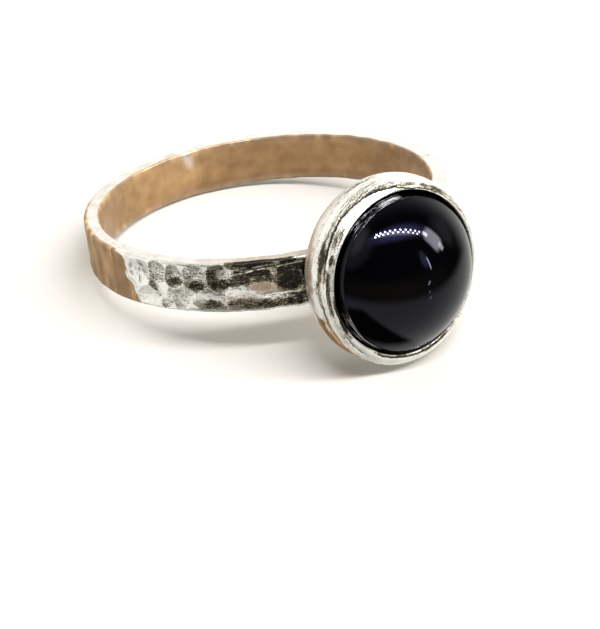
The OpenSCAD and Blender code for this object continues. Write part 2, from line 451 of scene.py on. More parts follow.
def hammer(at):
    # how deep every place lies, how near it is to a ridge, and what blackening its mark keeps
    noise = bandSpec["noise"]
    strayRound, strayHigh = [softNoise(at.mm, at.z, noise[name]) for name in ("markRound", "markHigh")]
    untouched, ridgeHalf, edgeHalf = -0.02, 0.011, 0.01   # mm of depth
    first = np.full(at.z.shape, untouched)
    second, at.grey = first.copy(), np.zeros(at.z.shape)
    for degrees, mz, halfWide, halfHigh, depth, stays in strikeMarks():
        across = np.radians(fold(at.degrees - degrees)) * at.outer + strayRound
        cut = depth * (1 - (across / halfWide) ** 2 - ((at.z + strayHigh - mz) / halfHigh) ** 2)
        better = cut > first
        second = np.where(better, first, np.maximum(second, cut))
        at.grey = np.where(better, stays, at.grey)
        first = np.maximum(first, cut)
    at.dent = np.maximum(first, 0)
    between = line(first - np.maximum(second, 0), ridgeHalf) + line(first, edgeHalf)
    at.ridge = np.clip(between * (first > untouched + 0.001), 0, 1)


def workBand(at):
    # scratches, dark folds with painted shade, the smooth side and its edge, the rim and the seam
    s = bandSpec
    noise = s["noise"]
    at.scratch, at.stained, folded = [np.zeros(at.z.shape) for _ in range(3)]
    bend, broken = [softNoise(at.mm, at.z, noise[name]) for name in ("scratchBend", "scratchBreak")]
    for start, stop, half in s["scratches"]:
        stroke = line(strokeGap(at, bend, start, stop), half) * (s["scratchBody"] + broken)
        at.scratch = np.maximum(at.scratch, stroke)
    bend = softNoise(at.mm, at.z, noise["foldBend"])
    for start, stop, half, amount, depth in s["darkFolds"]:
        near = line(strokeGap(at, bend, start, stop), half)
        at.stained, folded = np.maximum(at.stained, amount * near), np.maximum(folded, depth * near)
    edge = np.interp(at.z, *zip(*s["smoothEdge"])) + softNoise(at.z, at.z + at.turn, noise["smoothEdge"])
    hammered = 1 - smooth(0, s["smoothFade"], edge - at.degrees)
    behind = smooth(*s["smoothEnd"], at.degrees + softNoise(at.mm, at.z, noise["smoothEnd"]))
    at.smoothSide = (1 - hammered) * (at.degrees < 0) * behind
    crest = 4 * hammered * (1 - hammered) * (at.degrees < -60) * (at.degrees > -100)
    height, half = s["rim"]
    rim = line(at.z - height, half) * window(at.degrees, s["lowerRim"])
    at.seam = line(fold(at.degrees - s["seam"]) * at.perDegree, s["seamHalf"])
    fine = softNoise(at.mm, at.z, noise["fine"]) * (0.5 + 0.5 * smooth(0, 0.05, at.dent))
    lumps = softNoise(at.mm, at.z, noise["lumps"])
    push = at.dent + folded + lumps * (1 + at.smoothSide) + fine * (1 - 0.6 * at.smoothSide)
    for form, name in ((at.scratch, "scratch"), (crest, "crest"), (rim, "rim"), (at.seam, "seam")):
        push = push - s["raised"][name] * form
    bore = at.inside * (softNoise(at.mmInside, at.z, noise["inside"]) - s["raised"]["seamInside"] * at.seam)
    nicks = s["raised"]["nicks"] * np.clip(softNoise(at.mm, 0, noise["topNicks"]), 0, 1)
    r = at.r0 - at.share * push + bore + (at.kind == "edge") * (at.z > 0) * nicks
    wave = softNoise(at.mm, 1, noise["topWave"]) + softNoise(at.mm, 0, noise["topRipple"])
    z = at.z + wave * at.z / (s["width"] / 2)
    return np.stack([r * np.cos(at.turn), r * np.sin(at.turn), z], -1)


def blackenBand(at):
    s = bandSpec
    black, wornOff = s["black"], s["wornOff"]
    inFront = (at.degrees > s["filledFront"][0]) & (at.degrees < s["filledFront"][1])
    front, elsewhere = [smooth(start, full, at.dent) for start, full in s["filled"]]
    worn = np.where(at.degrees < -45, wornOff["leftRidges"], wornOff["ridges"]) * at.ridge
    dirt = at.grey * np.where(inFront, front, elsewhere) * (1 - worn)
    rag = softNoise(at.mm, at.z, s["noise"]["patchEdge"])
    for degrees, mz, halfWide, halfHigh, amount in s["patches"]:
        across = (at.degrees - degrees) * at.perDegree
        dirt = dirt + amount * spot(across, at.z - mz, halfWide, halfHigh, s["patchFade"], rag)
    # the dark folds add blackening and painted shade
    dirt = np.clip(dirt + at.stained, 0, 1.15) * (1 - wornOff["scratches"] * at.scratch)
    dirt = dirt * at.outside * (1 - at.smoothSide)
    onTop = black["top"] + black["topRubbed"] * at.rubbed + black["topNearCup"] * at.nearCup
    dirt = np.clip(dirt + at.topSide * onTop, 0, 1.2)
    dirt = dirt + at.seam * (black["seamInside"] * at.inside + black["seamOutside"] * at.outside)
    lowerEdge = wornOff["lowerEdge"] * at.outside * smooth(-1.12, -1.24, at.z)
    return dirt * (1 - lowerEdge * window(at.degrees, s["cleanRim"]))


def bandTarnishAndReflection(at):
    # how much warm brown there is, a painted reflection of the surroundings with a thin tarnish on the top
    # face, and its tone from light to dark
    s = bandSpec
    share, tones = s["tarnishAndReflection"], s["tones"]
    degrees, mz, halfWide, halfHigh = s["rosyReflection"]
    across = (at.degrees - degrees) * at.perDegree
    rosyReflection = spot(across, at.z - mz, halfWide, halfHigh, s["rosyFade"]) * at.outside
    # the painted highlight, a bright wedge, stands at the band's upper inner edge and takes brown and darkness
    # away
    place, lean, half = s["highlightWedge"]
    highlightWedge = line(at.round - place - lean * (at.z - 1), half)
    highlightWedge = highlightWedge * smooth(0.1, 0.9, at.z) * (at.inside | at.innerEdge)
    warm = share["inside"] * at.inside + share["innerEdge"] * at.innerEdge
    warm = warm + share["smoothSide"] * at.smoothSide * at.outside + share["rosyReflection"] * rosyReflection
    top = share["top"] + share["topRubbed"] * at.rubbed + share["topNearCup"] * at.nearCup
    warm = warm + at.topSide * top * smooth(100, -8, at.degrees)
    warm = np.clip(warm + share["highlightWedge"] * highlightWedge, 0, 1)
    beforeSeam, afterSeam = window(at.round, s["beforeSeam"]), window(at.round, s["afterSeam"])
    tone = tones["all"] + softNoise(at.mmInside, at.z, s["noise"]["tarnish"])
    within = tone + tones["inside"] + tones["afterSeam"] * afterSeam
    within = within + tones["back"] * smooth(190, 220, at.round)
    # painted shade darkens the foot of the inner face, most before the seam
    within = within + (tones["foot"] + tones["footBeforeSeam"] * beforeSeam) * smooth(-0.8, -1.1, at.z)
    without = tone + tones["outside"] + tones["lower"] * smooth(0.3, -1.1, at.z)
    without = without + softNoise(at.mmInside, at.z, s["noise"]["smoothTarnish"])
    tone = np.where(at.inside, within, without) + tones["highlightWedge"] * highlightWedge
    # painted shade darkens the inner edges before the seam
    tone = tone + tones["innerEdge"] * at.innerEdge * beforeSeam
    return warm, np.clip(tone + at.topSide + tones["rosyReflection"] * rosyReflection, 0, 1)


def makeBand():
    s = bandSpec
    at = bandPlaces()
    hammer(at)
    points = workBand(at)
    at.rubbed = softNoise(at.mm, (at.r0 - at.hole) / s["thickness"], s["noise"]["rubbed"])
    at.nearCup = window(at.degrees, s["nearCup"])
    warm, tone = bandTarnishAndReflection(at)
    satin = s["satin"]["top"] * at.topSide + s["satin"]["smoothSide"] * at.smoothSide * at.outside
    layers = {"dirt": blackenBand(at), "warm": warm, "tone": tone, "satin": satin}
    along = np.append(at.turns, at.turns[0] + 2 * math.pi) * at.outer
    return gridMesh("hammered_band", points, silver, layers, (along, at.over), closeAcross=True)


band = makeBand()
print("band hammered")

# The cup: its profile runs from the middle of its back, round the corner, up the
# wall, over the lip and down inside to the stone. Lengths in mm; places round it in
# degrees, from its right side over its top; run is counted along the profile.
cupSpec = {
    "back": 9.4,
    "lean": 3.5,
    "step": 0.25,        # share of the lip's rise that comes at once above the line
    "radius": 4.67,
    "corner": 1.4,
    # radius and height: across the back, up the wall and over the lip, and the stone's room
    "backRings": [0.0, 0.8, 1.6, 2.4, 3.0],
    "wall": [
        (4.66, 1.65), (4.65, 1.9), (4.62, 2.15), (4.58, 2.35), (4.52, 2.52), (4.46, 2.65),
        (4.39, 2.76), (4.31, 2.85), (4.23, 2.90), (4.16, 2.90), (4.115, 2.86), (4.10, 2.79)],
    "room": [
        (4.14, 2.66), (4.21, 2.48), (4.27, 2.25), (4.31, 1.95), (4.33, 1.5), (4.33, 0.95),
        (3.0, 0.9), (0.0, 0.9)],
    "runStart": 0.672,   # run is counted from this far before the widest place
    "crest": 2.36,       # run of the lip's crest
    "steps": 890,
    "firstStep": 300,    # degrees; the sections start where the cup hides its own foot
    "profileSteps": (24, 76, 14),   # over the back, the wall with the lip, and the room
    "easedSteps": (20, 100),        # steps between which the profile's corners are taken off
    # how far the filed outline strays from the circle
    "outline": {
        0: 0.05, 45: 0.05, 90: 0.05, 125: -0.03, 160: -0.15, 190: -0.2, 220: -0.10, 250: 0.0, 300: 0.03},
    "lipOutline": {0: 0.0, 150: 0.0, 185: 0.03, 215: 0.08, 245: 0.15, 275: 0.16, 305: 0.08, 335: 0.0},
    # radius of the opening
    "opening": {60: 4.10, 185: 4.10, 210: 4.04, 235: 3.98, 268: 3.98, 300: 4.05, 340: 4.10},
    # run of the dark line under the lip, and how deep it is
    "line": {
        60: 2.32, 76: 2.36, 84: 2.25, 89: 2.12, 95: 2.02, 100: 1.94, 106: 1.85, 112: 1.77, 118: 1.70,
        125: 1.63, 140: 1.64, 155: 1.68, 165: 1.72, 185: 1.66, 215: 1.75, 240: 1.78, 300: 2.0, 0: 2.2},
    "lineDepth": {
        40: 0.3, 60: 0.55, 72: 0.9, 82: 1.0, 156: 1.0, 167: 0.35, 185: 0.05, 215: 0.1, 250: 0.2, 300: 0.1},
    "lineHalf": 0.036,
    "lineDeep": 0.06,
    # shallow grooves: from and to degrees, run at each, half width, depth, blackening
    "grooves": [
        (160, 194, 1.88, 2.03, 0.15, 0.07, 0.75), (198, 229, 2.21, 2.13, 0.032, 0.02, 0.95),
        (184, 215, 1.45, 1.12, 0.055, 0.035, 0.85), (231, 300, 2.375, 2.34, 0.045, 0.04, 0.95),
        (60, 84, 2.15, 2.16, 0.02, 0.012, 0.5), (150, 166, 1.50, 1.44, 0.09, 0.03, 0.35),
        (10, 60, 2.08, 2.15, 0.03, 0.02, 0.5), (86, 122, 0.92, 0.48, 0.05, 0.015, 0.35),
    ],
    # raised worn edges: from and to degrees, run at each, half width, height
    "ridges": [
        (126, 157, 1.50, 1.58, 0.03, 0.02), (160, 196, 1.60, 1.80, 0.055, 0.035),
        (188, 232, 1.95, 2.0, 0.12, 0.03), (156, 212, 2.33, 2.15, 0.045, 0.03),
        (170, 193, 0.88, 1.0, 0.1, 0.03),
    ],
    # where blackening stayed in specks: degrees, run, half width in degrees, half height, amount
    "patches": [
        (137, 1.38, 12, 0.13, 0.34), (158, 1.36, 12, 0.22, 0.72), (178, 1.30, 14, 0.17, 0.55),
        (176, 1.1, 8, 0.15, 0.35), (96, 1.84, 13, 0.12, 0.42), (80, 2.06, 12, 0.13, 0.5),
        (60, 2.15, 16, 0.14, 0.45), (141, 1.98, 9.5, 0.3, 0.5), (155, 2.03, 4.2, 0.2, 0.8),
        (193, 2.36, 20, 0.10, 0.85), (203, 2.30, 9, 0.08, 0.5), (252, 2.56, 16, 0.15, 0.42),
        (245, 1.8, 30, 0.12, 0.45), (285, 2.38, 20, 0.14, 0.35), (40, 2.1, 30, 0.2, 0.35),
        (150, 0.85, 30, 0.2, 0.12), (110, 0.35, 30, 0.3, 0.14), (218, 0.7, 20, 0.5, 0.1),
        (225, 0.1, 45, 0.3, 0.35), (168, 2.02, 8, 0.12, 0.2),
    ],
    # where a brown reflection of the surroundings is painted in, in the same columns
    "warm": [
        (218, 0.55, 24, 0.85, 1.4), (200, 1.44, 8, 0.13, 1.0), (210, 1.5, 12, 0.2, 1.2),
        (224, 1.4, 12, 0.36, 1.2), (161, 1.40, 14, 0.2, 0.7), (172, 0.45, 25, 0.4, 0.8),
        (246, 1.66, 26, 0.14, 0.6)],
    "patchFade": (0.5, 1.3),   # shares of a patch's size where it starts to fade and ends
    "warmFade": (0.55, 1.2),
    # windows in degrees: start, full, fading, end
    "left": (85, 105, 162, 172),
    "top": (45, 62, 112, 128),
    "brushedLeft": (118, 130, 175, 190),
    "worn": (208, 224, 285, 300),
    "lowerLip": (186, 200, 240, 262),
    # where the filed metal is satin: degrees round, share
    "satin": {60: 1.0, 150: 1.0, 175: 0.6, 200: 0.7, 230: 1.0, 300: 1.0},
    # dark inside the lip, round the cup: blackening, and painted shade of the crevice round the stone
    "inside": {50: 0.4, 62: 1.15, 235: 1.15, 250: 0.75, 266: 0.25, 300: 0.2, 350: 0.3, 30: 0.4},
    "wander": (0.012, 0.015),  # mm that the line, and the grooves and ridges, wander
    # how black each part is, and what wear takes off again
    "black": {
        "line": 1.8, "besideLine": 0.3, "top": 0.17, "leftFoot": 0.1, "leftStrip": 0.27, "streaks": 0.2,
        "lip": 0.16, "lipLeft": 0.08, "inLip": 0.9, "insideStreaks": 0.25, "back": 0.15},
    "wornOff": {"ridges": 0.8, "lip": 0.8, "inLip": 0.8},
    # how much painted brown reflection the wall has, how dark it is, and how much lighter under the lip
    "tarnishAndReflection": {"leftFoot": 0.48, "left": 0.16, "top": 0.13},
    "tones": (0.97, 0.4),
    # unevenness: height, size of its lumps round and along the run, seed
    "noise": {
        "lump": [(1, 0.35, 0.3, 71)],
        "facets": [(0.010, 1.1, 0.5, 72), (0.004, 0.25, 0.2, 73)],
        "speckled": [(0.004, 0.09, 0.08, 74)],
        "tone": [(0.4, 1.8, 0.16, 75)],
        "streaks": [(1, 2.2, 0.07, 76), (0.6, 0.9, 0.045, 77)],
        "thin": [(1, 1.1, 0.022, 78)],
        "brushed": [(0.14, 0.5, 0.06, 79)],
        "teeth": [(0.022, 0.075, 0.5, 80)],
    },
}


def onCup(r, h, ang):
    # places given by radius, height over the cup's back and angle, in the ring's frame
    lean = math.radians(cupSpec["lean"])
    axis = np.array([math.cos(lean), 0, math.sin(lean)])
    across, up = np.array([0, 1.0, 0]), np.array([-math.sin(lean), 0, math.cos(lean)])
    away = r[..., None] * (np.cos(ang)[..., None] * across + np.sin(ang)[..., None] * up)
    return np.array([cupSpec["back"], 0, 0]) + h[..., None] * axis + away


def alongArc(at, start, stop, run0, run1, half):
    # a line that moves from one run to another between two places round the cup
    t = np.mod(at.degrees - start, 360) / np.mod(stop - start, 360)
    middle = run0 + (run1 - run0) * np.clip(t, 0, 1)
    return window(t, (-0.001, 0.12, 0.88, 1.0)) * line(at.run - middle + at.bend, half)


def cupPlaces():
    s = cupSpec
    radius, corner = s["radius"], s["corner"]
    profile = [(r, 0.0) for r in s["backRings"]]
    profile += [
        (radius - corner + corner * math.sin(a), corner - corner * math.cos(a))
        for a in np.linspace(0.05, math.pi / 2, 16)]
    widest = len(profile) - 1
    profile = np.array(profile + s["wall"] + s["room"])
    length = np.concatenate([[0], np.cumsum(np.hypot(*np.diff(profile, axis=0).T))])
    zero, lipEnd = length[widest] - s["runStart"], length[widest + len(s["wall"])]
    backSteps, wallSteps, roomSteps = s["profileSteps"]
    fine = np.concatenate([
        np.linspace(0, length[widest], backSteps)[:-1], np.linspace(length[widest], lipEnd, wallSteps),
        np.linspace(lipEnd, length[-1], roomSteps)[1:]])
    at = SimpleNamespace(fine=fine, runs=fine - zero, lipEnd=lipEnd - zero)
    at.r0, at.h0 = [np.interp(fine, length, profile[:, k]) for k in (0, 1)]
    first, last = s["easedSteps"]
    for places in (at.r0, at.h0):
        for _ in range(3):
            beside = places[first - 1:last - 1] + places[first + 1:last + 1]
            places[first:last] = (beside + 2 * places[first:last]) / 4
    dr, dh = np.gradient(at.r0), np.gradient(at.h0)
    at.nr, at.nh = dh / np.hypot(dr, dh), -dr / np.hypot(dr, dh)
    at.turns = math.radians(s["firstStep"]) + np.linspace(0, 2 * math.pi, s["steps"], endpoint=False)
    shape = (s["steps"], len(fine))
    at.ang = np.broadcast_to(at.turns[:, None], shape)
    at.run = np.broadcast_to(at.runs, shape)
    at.degrees = np.mod(np.degrees(at.ang), 360)
    at.mm = at.ang * radius
    at.lump = softNoise(at.mm, at.run, s["noise"]["lump"])
    at.streaks = softNoise(at.mm, at.run, s["noise"]["streaks"])
    at.bend = 0
    return at


def fileCup(at):
    # the line under the lip, the grooves and the worn ridges: their relief and blackening
    s = cupSpec
    black = s["black"]
    at.toLine = at.run - keyed(at.degrees, s["line"])
    lineDepth = keyed(at.degrees, s["lineDepth"])
    teeth = softNoise(at.mm, at.run, s["noise"]["teeth"])
    groove = lineDepth * line(at.toLine + s["wander"][0] * at.lump + teeth, s["lineHalf"])
    at.push = -s["lineDeep"] * groove
    at.dirt = black["line"] * groove + black["besideLine"] * lineDepth * line(at.toLine + 0.07, 0.07)
    at.bend = s["wander"][1] * at.lump
    for *ends, half, depth, amount in s["grooves"]:
        cut = alongArc(at, *ends, half)
        at.push, at.dirt = at.push - depth * cut, at.dirt + amount * cut
    at.bend = 0
    for *ends, half, height in s["ridges"]:
        edge = alongArc(at, *ends, half)
        at.push, at.dirt = at.push + height * edge, at.dirt * (1 - s["wornOff"]["ridges"] * edge)


def blackenCup(at):
    s = cupSpec
    dirt, black, wornOff = at.dirt, s["black"], s["wornOff"]
    for place, run, halfWide, halfHigh, amount in s["patches"]:
        across = fold(at.degrees - place)
        dirt = dirt + amount * spot(across, at.run - run, halfWide, halfHigh, s["patchFade"], 0.3 * at.lump)
    left, top = window(at.degrees, s["left"]), window(at.degrees, s["top"])
    dirt = dirt + black["top"] * top * window(at.run, (0.2, 0.4, 1.6, 1.75))
    # a grey strip runs under the line on the left
    strip = smooth(1.1, 1.28, at.run) * smooth(0.0, -0.1, at.toLine)
    dirt = dirt + left * (black["leftFoot"] * smooth(0.9, 0.75, at.run) + black["leftStrip"] * strip)
    dirt = dirt + black["streaks"] * np.clip(at.streaks, -0.3, 1) * smooth(0.25, 0.5, at.run)
    # the lip is brushed round, less so where it is worn
    brushed = black["lip"] + softNoise(at.mm, at.run, s["noise"]["brushed"])
    brushed = brushed + black["lipLeft"] * window(at.degrees, s["brushedLeft"])
    brushed = brushed * (1 - wornOff["lip"] * window(at.degrees, s["worn"]))
    onLip = smooth(0.03, 0.12, at.toLine) * smooth(at.lipEnd + 0.02, at.lipEnd - 0.1, at.run)
    dirt = dirt + brushed * onLip
    # the lower lip's inner edge is darkened as painted shade of the crevice, with blackening worn thin in
    # places
    inLip = smooth(2.42, 2.5, at.run) * window(at.degrees, s["lowerLip"])
    thin = smooth(0.35, 0.75, softNoise(at.mm, at.run, s["noise"]["thin"]))
    at.dirt = dirt * (1 - inLip) + inLip * (black["inLip"] - wornOff["inLip"] * thin)


def cupTarnishAndReflection(at):
    s = cupSpec
    share = s["tarnishAndReflection"]
    warm = np.zeros(at.run.shape)
    for place, run, halfWide, halfHigh, amount in s["warm"]:
        across = fold(at.degrees - place)
        inside = spot(across, at.run - run, halfWide, halfHigh, s["warmFade"], 0.25 * at.lump)
        warm = np.maximum(warm, amount * inside)
    # the wall's foot has a little painted brown reflection on the left, and its top hardly any
    left, top = window(at.degrees, s["left"]), window(at.degrees, s["top"])
    onLeft = share["leftFoot"] * smooth(0.4, 0.05, at.run) + share["left"] * smooth(0.9, 0.75, at.run)
    warm = np.maximum(warm, left * onLeft)
    return np.clip(np.maximum(warm, share["top"] * top * smooth(1.7, 1.3, at.run)), 0, 1)


def shapeCup(at):
    s = cupSpec
    noise = s["noise"]
    speckled = softNoise(at.mm, at.run, noise["speckled"]) * smooth(0.1, 0.5, at.dirt)
    push = at.push + softNoise(at.mm, at.run, noise["facets"]) + speckled
    push = push * smooth(0.3, 0.7, at.run) * smooth(at.lipEnd + 0.05, at.lipEnd - 0.1, at.run)
    # above the line the lip is a step and then a flat band up to its crest
    lineRun, crest = keyed(at.degrees, s["line"]), s["crest"]
    lineR, lineH = [np.interp(lineRun, at.runs, places) for places in (at.r0, at.h0)]
    crestR, crestH = [np.interp(crest, at.runs, places) for places in (at.r0, at.h0)]
    t = np.clip((at.run - lineRun) / np.maximum(crest - lineRun, 0.05), 0, 1)
    stepUp = smooth(0.0, 0.14, t) * (1 - t)
    bandR = lineR + (crestR - lineR) * t + 0.02 * stepUp
    bandH = lineH + (crestH - lineH) * (t + s["step"] * stepUp) + 0.008 * np.sin(math.pi * t)
    flat = smooth(0.0, 0.3, crest - lineRun) * (at.run > lineRun) * (at.run < crest)
    # the opening narrows where the lip was pushed further over the stone, and sinks with it
    narrowed = (keyed(at.degrees, s["opening"]) - s["wall"][-1][0]) * smooth(1.95, 2.5, at.run)
    narrowed = narrowed * (at.run < at.lipEnd + 0.3)
    r = at.r0 * (1 - flat) + bandR * flat + at.nr * push + narrowed
    h = at.h0 * (1 - flat) + bandH * flat + at.nh * push - 1.7 * narrowed
    r = r + keyed(at.degrees, s["outline"]) * window(at.run, (-0.9, 0.2, 1.6, 2.1))
    r = r + keyed(at.degrees, s["lipOutline"]) * window(at.run, (1.0, 1.8, 2.2, 2.6))
    return onCup(np.where(at.r0 == 0, 0, r), h, at.ang)


def makeCup():
    s = cupSpec
    at = cupPlaces()
    fileCup(at)
    blackenCup(at)
    points = shapeCup(at)
    within = at.run > at.lipEnd - 0.03
    onWall = (at.run > 0.3) & (at.run < at.lipEnd)
    dirt = np.where(onWall, at.dirt, s["black"]["back"])
    # inside the lip the darkening is painted shade of the crevice round the stone, with blackening
    inside = keyed(at.degrees, s["inside"]) + s["black"]["insideStreaks"] * at.streaks
    dirt = np.where(within, inside, dirt)
    low, lighter = s["tones"]
    tone = low - lighter * smooth(1.3, 1.5, at.run) + softNoise(at.mm, at.run, s["noise"]["tone"])
    layers = {
        "dirt": np.clip(dirt, 0, 1.2),
        "warm": cupTarnishAndReflection(at) * ~within,
        "tone": np.clip(tone, 0, 1),
        "satin": np.where(within, 0, keyed(at.degrees, s["satin"]) * smooth(0.3, 0.8, at.run)),
    }
    along = np.append(at.turns, at.turns[0] + 2 * math.pi) * s["radius"]
    return gridMesh("stone_cup", points, silver, layers, (along, at.fine))


cup = makeCup()
print("cup turned")

# Black onyx, cut as a round cabochon and polished on felt: a clean dark mirror over
# pure black. Low on its side the dome turns down steeply, clear of the lip, and that
# edge catches a thin line of light. Lengths in mm.
stoneSpec = {
    "black": "020203",
    "gloss": "dedeff",   # its polish mirrors a little bluer than what it mirrors
    "rubbed": "d2cfd2",  # silver that the pushed lip left on the stone's edge
    "index": 1.54,
    "mirror": 0.19,      # real onyx has 0.5; less keeps it as black as it looks
    "veil": 2.5,         # size of the faint clouds in its polish
    "polish": (0.015, 0.05),
    "rubbedRough": 0.4,
    "smears": [(84, 138, 1.0), (190, 240, 0.75), (40, 60, 0.4)],  # degrees round, and how much of it
    # the smears' lines: strength, length, width, seed, and where the noise shows
    "smearLines": [(1.0, 1.0, 0.028, 81, 0.35, 0.7), (0.7, 0.3, 0.03, 82, 0.5, 0.8)],
    "domeRadius": 4.6,
    "domeCentre": 0.65,  # from the cup's back
    "shoulder": 3.80,    # radius where the side turns down
    "girdle": 3.99,
    "flare": 0.02,       # how much wider the side is at its middle than at the girdle
    "sideMiddle": 2.3,   # height where the side starts to round over
    "back": 0.95,
    "bevel": 0.2,
    "around": 4.3,       # radius that its surface is unrolled at
    "smearRadius": 4.0,  # and the smears
    "smearsFrom": 2.7,   # height from which the side shows above the lip
    "steps": 480,
    "sideSteps": 72,
    "domeSteps": 84,
}


def makeOnyx():
    s = stoneSpec
    mat, tree = newMaterial("black onyx, cut and polished")
    place = addNode(tree, "TexCoord", output="Object")
    veil = addNode(tree, "TexNoise", {"Vector": place, "Scale": 1000 / s["veil"], "Detail": 3.0}, "Fac")
    polished = addNode(tree, "MapRange", {"Value": veil, "To Min": s["polish"][0], "To Max": s["polish"][1]})
    smear = addNode(tree, "Attribute", output="Fac", attribute_name="smear")
    black, rubbed = linear(s["black"]), linear(s["rubbed"])
    colour = addNode(tree, "Mix", {0: smear, 6: black, 7: rubbed}, 2, data_type="RGBA")
    rough = addNode(tree, "MapRange", {"Value": smear, "To Min": polished, "To Max": s["rubbedRough"]})
    shader = addNode(tree, "BsdfPrincipled", {
        "Base Color": colour, "Roughness": rough, "IOR": s["index"],
        "Specular IOR Level": s["mirror"], "Specular Tint": linear(s["gloss"])})
    addNode(tree, "OutputMaterial", {"Surface": shader})
    return mat


def stoneProfile():
    s = stoneSpec
    turnsAt = math.asin(s["shoulder"] / s["domeRadius"])
    sideTop = s["domeCentre"] + s["domeRadius"] * math.cos(turnsAt)
    side = s["girdle"] + s["flare"]
    profile = [(r, s["back"]) for r in (0.0, 1.5, 3.0, s["girdle"] - s["bevel"])]
    profile += [(s["girdle"], s["back"] + s["bevel"]), (side, s["sideMiddle"])]
    # the side rounds over into the dome, pulled towards the middle one of three places
    bend = np.array([
        (side, s["sideMiddle"]), (s["shoulder"] + 0.045, sideTop - 0.03), (s["shoulder"], sideTop)])
    for t in np.linspace(0, 1, s["sideSteps"])[1:-1]:
        profile.append(tuple(np.array([(1 - t) ** 2, 2 * t * (1 - t), t * t]) @ bend))
    for a in np.linspace(turnsAt, 0, s["domeSteps"]):
        profile.append((s["domeRadius"] * math.sin(a), s["domeCentre"] + s["domeRadius"] * math.cos(a)))
    return np.array(profile).T


def makeStone():
    s = stoneSpec
    r, h = stoneProfile()
    turns = np.linspace(0, 2 * math.pi, s["steps"], endpoint=False)
    shape = (s["steps"], len(r))
    ang = np.broadcast_to(turns[:, None], shape)
    points = onCup(np.broadcast_to(r, shape), np.broadcast_to(h, shape), ang)
    degrees = np.degrees(ang)
    over = np.broadcast_to(np.concatenate([[0], np.cumsum(np.hypot(np.diff(r), np.diff(h)))]), shape)
    lines = 0
    for strength, long, wide, seed, low, high in s["smearLines"]:
        strewn = softNoise(ang * s["smearRadius"], over, [(1, long, wide, seed)])
        lines = lines + strength * smooth(low, high, strewn)
    smear = np.zeros(shape)
    for start, stop, amount in s["smears"]:
        faded = smooth(start, start + 8, degrees) * smooth(stop, stop - 12, degrees)
        smear = np.maximum(smear, amount * np.clip(lines, 0, 1) * faded)
    onSide = (h > s["smearsFrom"]) & (r > s["shoulder"] + 0.01)
    along = np.append(turns, 2 * math.pi) * s["around"]
    return gridMesh("onyx_dome", points, makeOnyx(), {"smear": smear * onSide}, (along, h))


stone = makeStone()
print("stone set")

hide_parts("silver_ring")
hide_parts("silver_ring")
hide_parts("onyx_cabochon")
for piece, slotName in ((band, "silver"), (cup, "silver"), (stone, "onyx")):
    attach(piece, "root")

# Matt pale paper under the ring: even and dull, so that only the ring has a shine.
floorSpec = {"colour": "c6c3bc", "half": 0.7, "rough": 0.9, "gloss": 0.2}   # half in metres


def makeFloor():
    half = floorSpec["half"]
    mesh = bpy.data.meshes.new("pale_floor")
    corners = [(-half, -half, 0), (half, -half, 0), (half, half, 0), (-half, half, 0)]
    mesh.from_pydata(corners, [], [(0, 1, 2, 3)])
    mat, tree = newMaterial("matt paper")
    shader = addNode(tree, "BsdfPrincipled", {
        "Base Color": linear(floorSpec["colour"]), "Roughness": floorSpec["rough"],
        "Specular IOR Level": floorSpec["gloss"]})
    addNode(tree, "OutputMaterial", {"Surface": shader})
    mesh.materials.append(mat)
    floor = bpy.data.objects.new("pale_floor", mesh)
    floor.visible_glossy = False  # the metal and the stone mirror the studio instead
    floor.visible_shadow = False
    bpy.context.scene.collection.objects.link(floor)


makeFloor()

# The lamps, in metres from the stone. The strip is two rows of small lamps that the
# stone mirrors as a beaded line.
lampSpec = {
    "middle": (0, -0.00747, 0.00443),
    "perRow": 10,
    # direction of each row: x of its first lamp, step to the next, and y as a curve over x
    "rows": [(-0.363, 0.0865, (-0.487, -0.30, -0.12)), (-0.300, 0.0895, (-0.428, -0.265, -0.11))],
    "spreading": 0.0035,   # by which the steps grow
    "stripHeight": 0.3,
    "beadAcross": 0.0135,
    "beadBrightness": 170,
    "overhead": ((0.1, 0.25, 1), 0.7, "SQUARE", 0.6, 1.55, "fffdf8", False),   # not mirrored
}


def aimed(place, back, up):
    # a lamp or camera at a place, with the direction behind it and the one above it
    back = Vector(back).normalized()
    right = Vector(up).cross(back).normalized()
    return Matrix.Translation(place) @ Matrix((right, back.cross(right), back)).transposed().to_4x4()


def addLamp(name, direction, distance, shape, size, brightness, colour="ffffff", mirrored=True):
    data = bpy.data.lights.new(name, "AREA")
    data.shape = shape
    data.size = size
    area = size ** 2 * (math.pi / 4 if shape == "DISK" else 1)
    data.energy = brightness * math.pi * area
    data.color = linear(colour)[:3]
    lamp = bpy.data.objects.new(name, data)
    toward = Vector(direction).normalized()
    lamp.matrix_world = aimed(Vector(lampSpec["middle"]) + toward * distance, toward, (0, 0, 1))
    lamp.visible_glossy = mirrored
    bpy.context.scene.collection.objects.link(lamp)


def makeLights():
    s = lampSpec
    for k in range(s["perRow"]):
        for row, (x, step, (y0, y1, y2)) in enumerate(s["rows"]):
            x = x + step * k + s["spreading"] * k * k
            y = y0 + y1 * x + y2 * x * x
            distance = s["stripHeight"] * math.sqrt(1 + x * x + y * y)
            addLamp("strip_%d_%d" % (row, k), (x, y, 1), distance, "DISK", s["beadAcross"], s["beadBrightness"])
    addLamp("overhead", *s["overhead"])


makeLights()

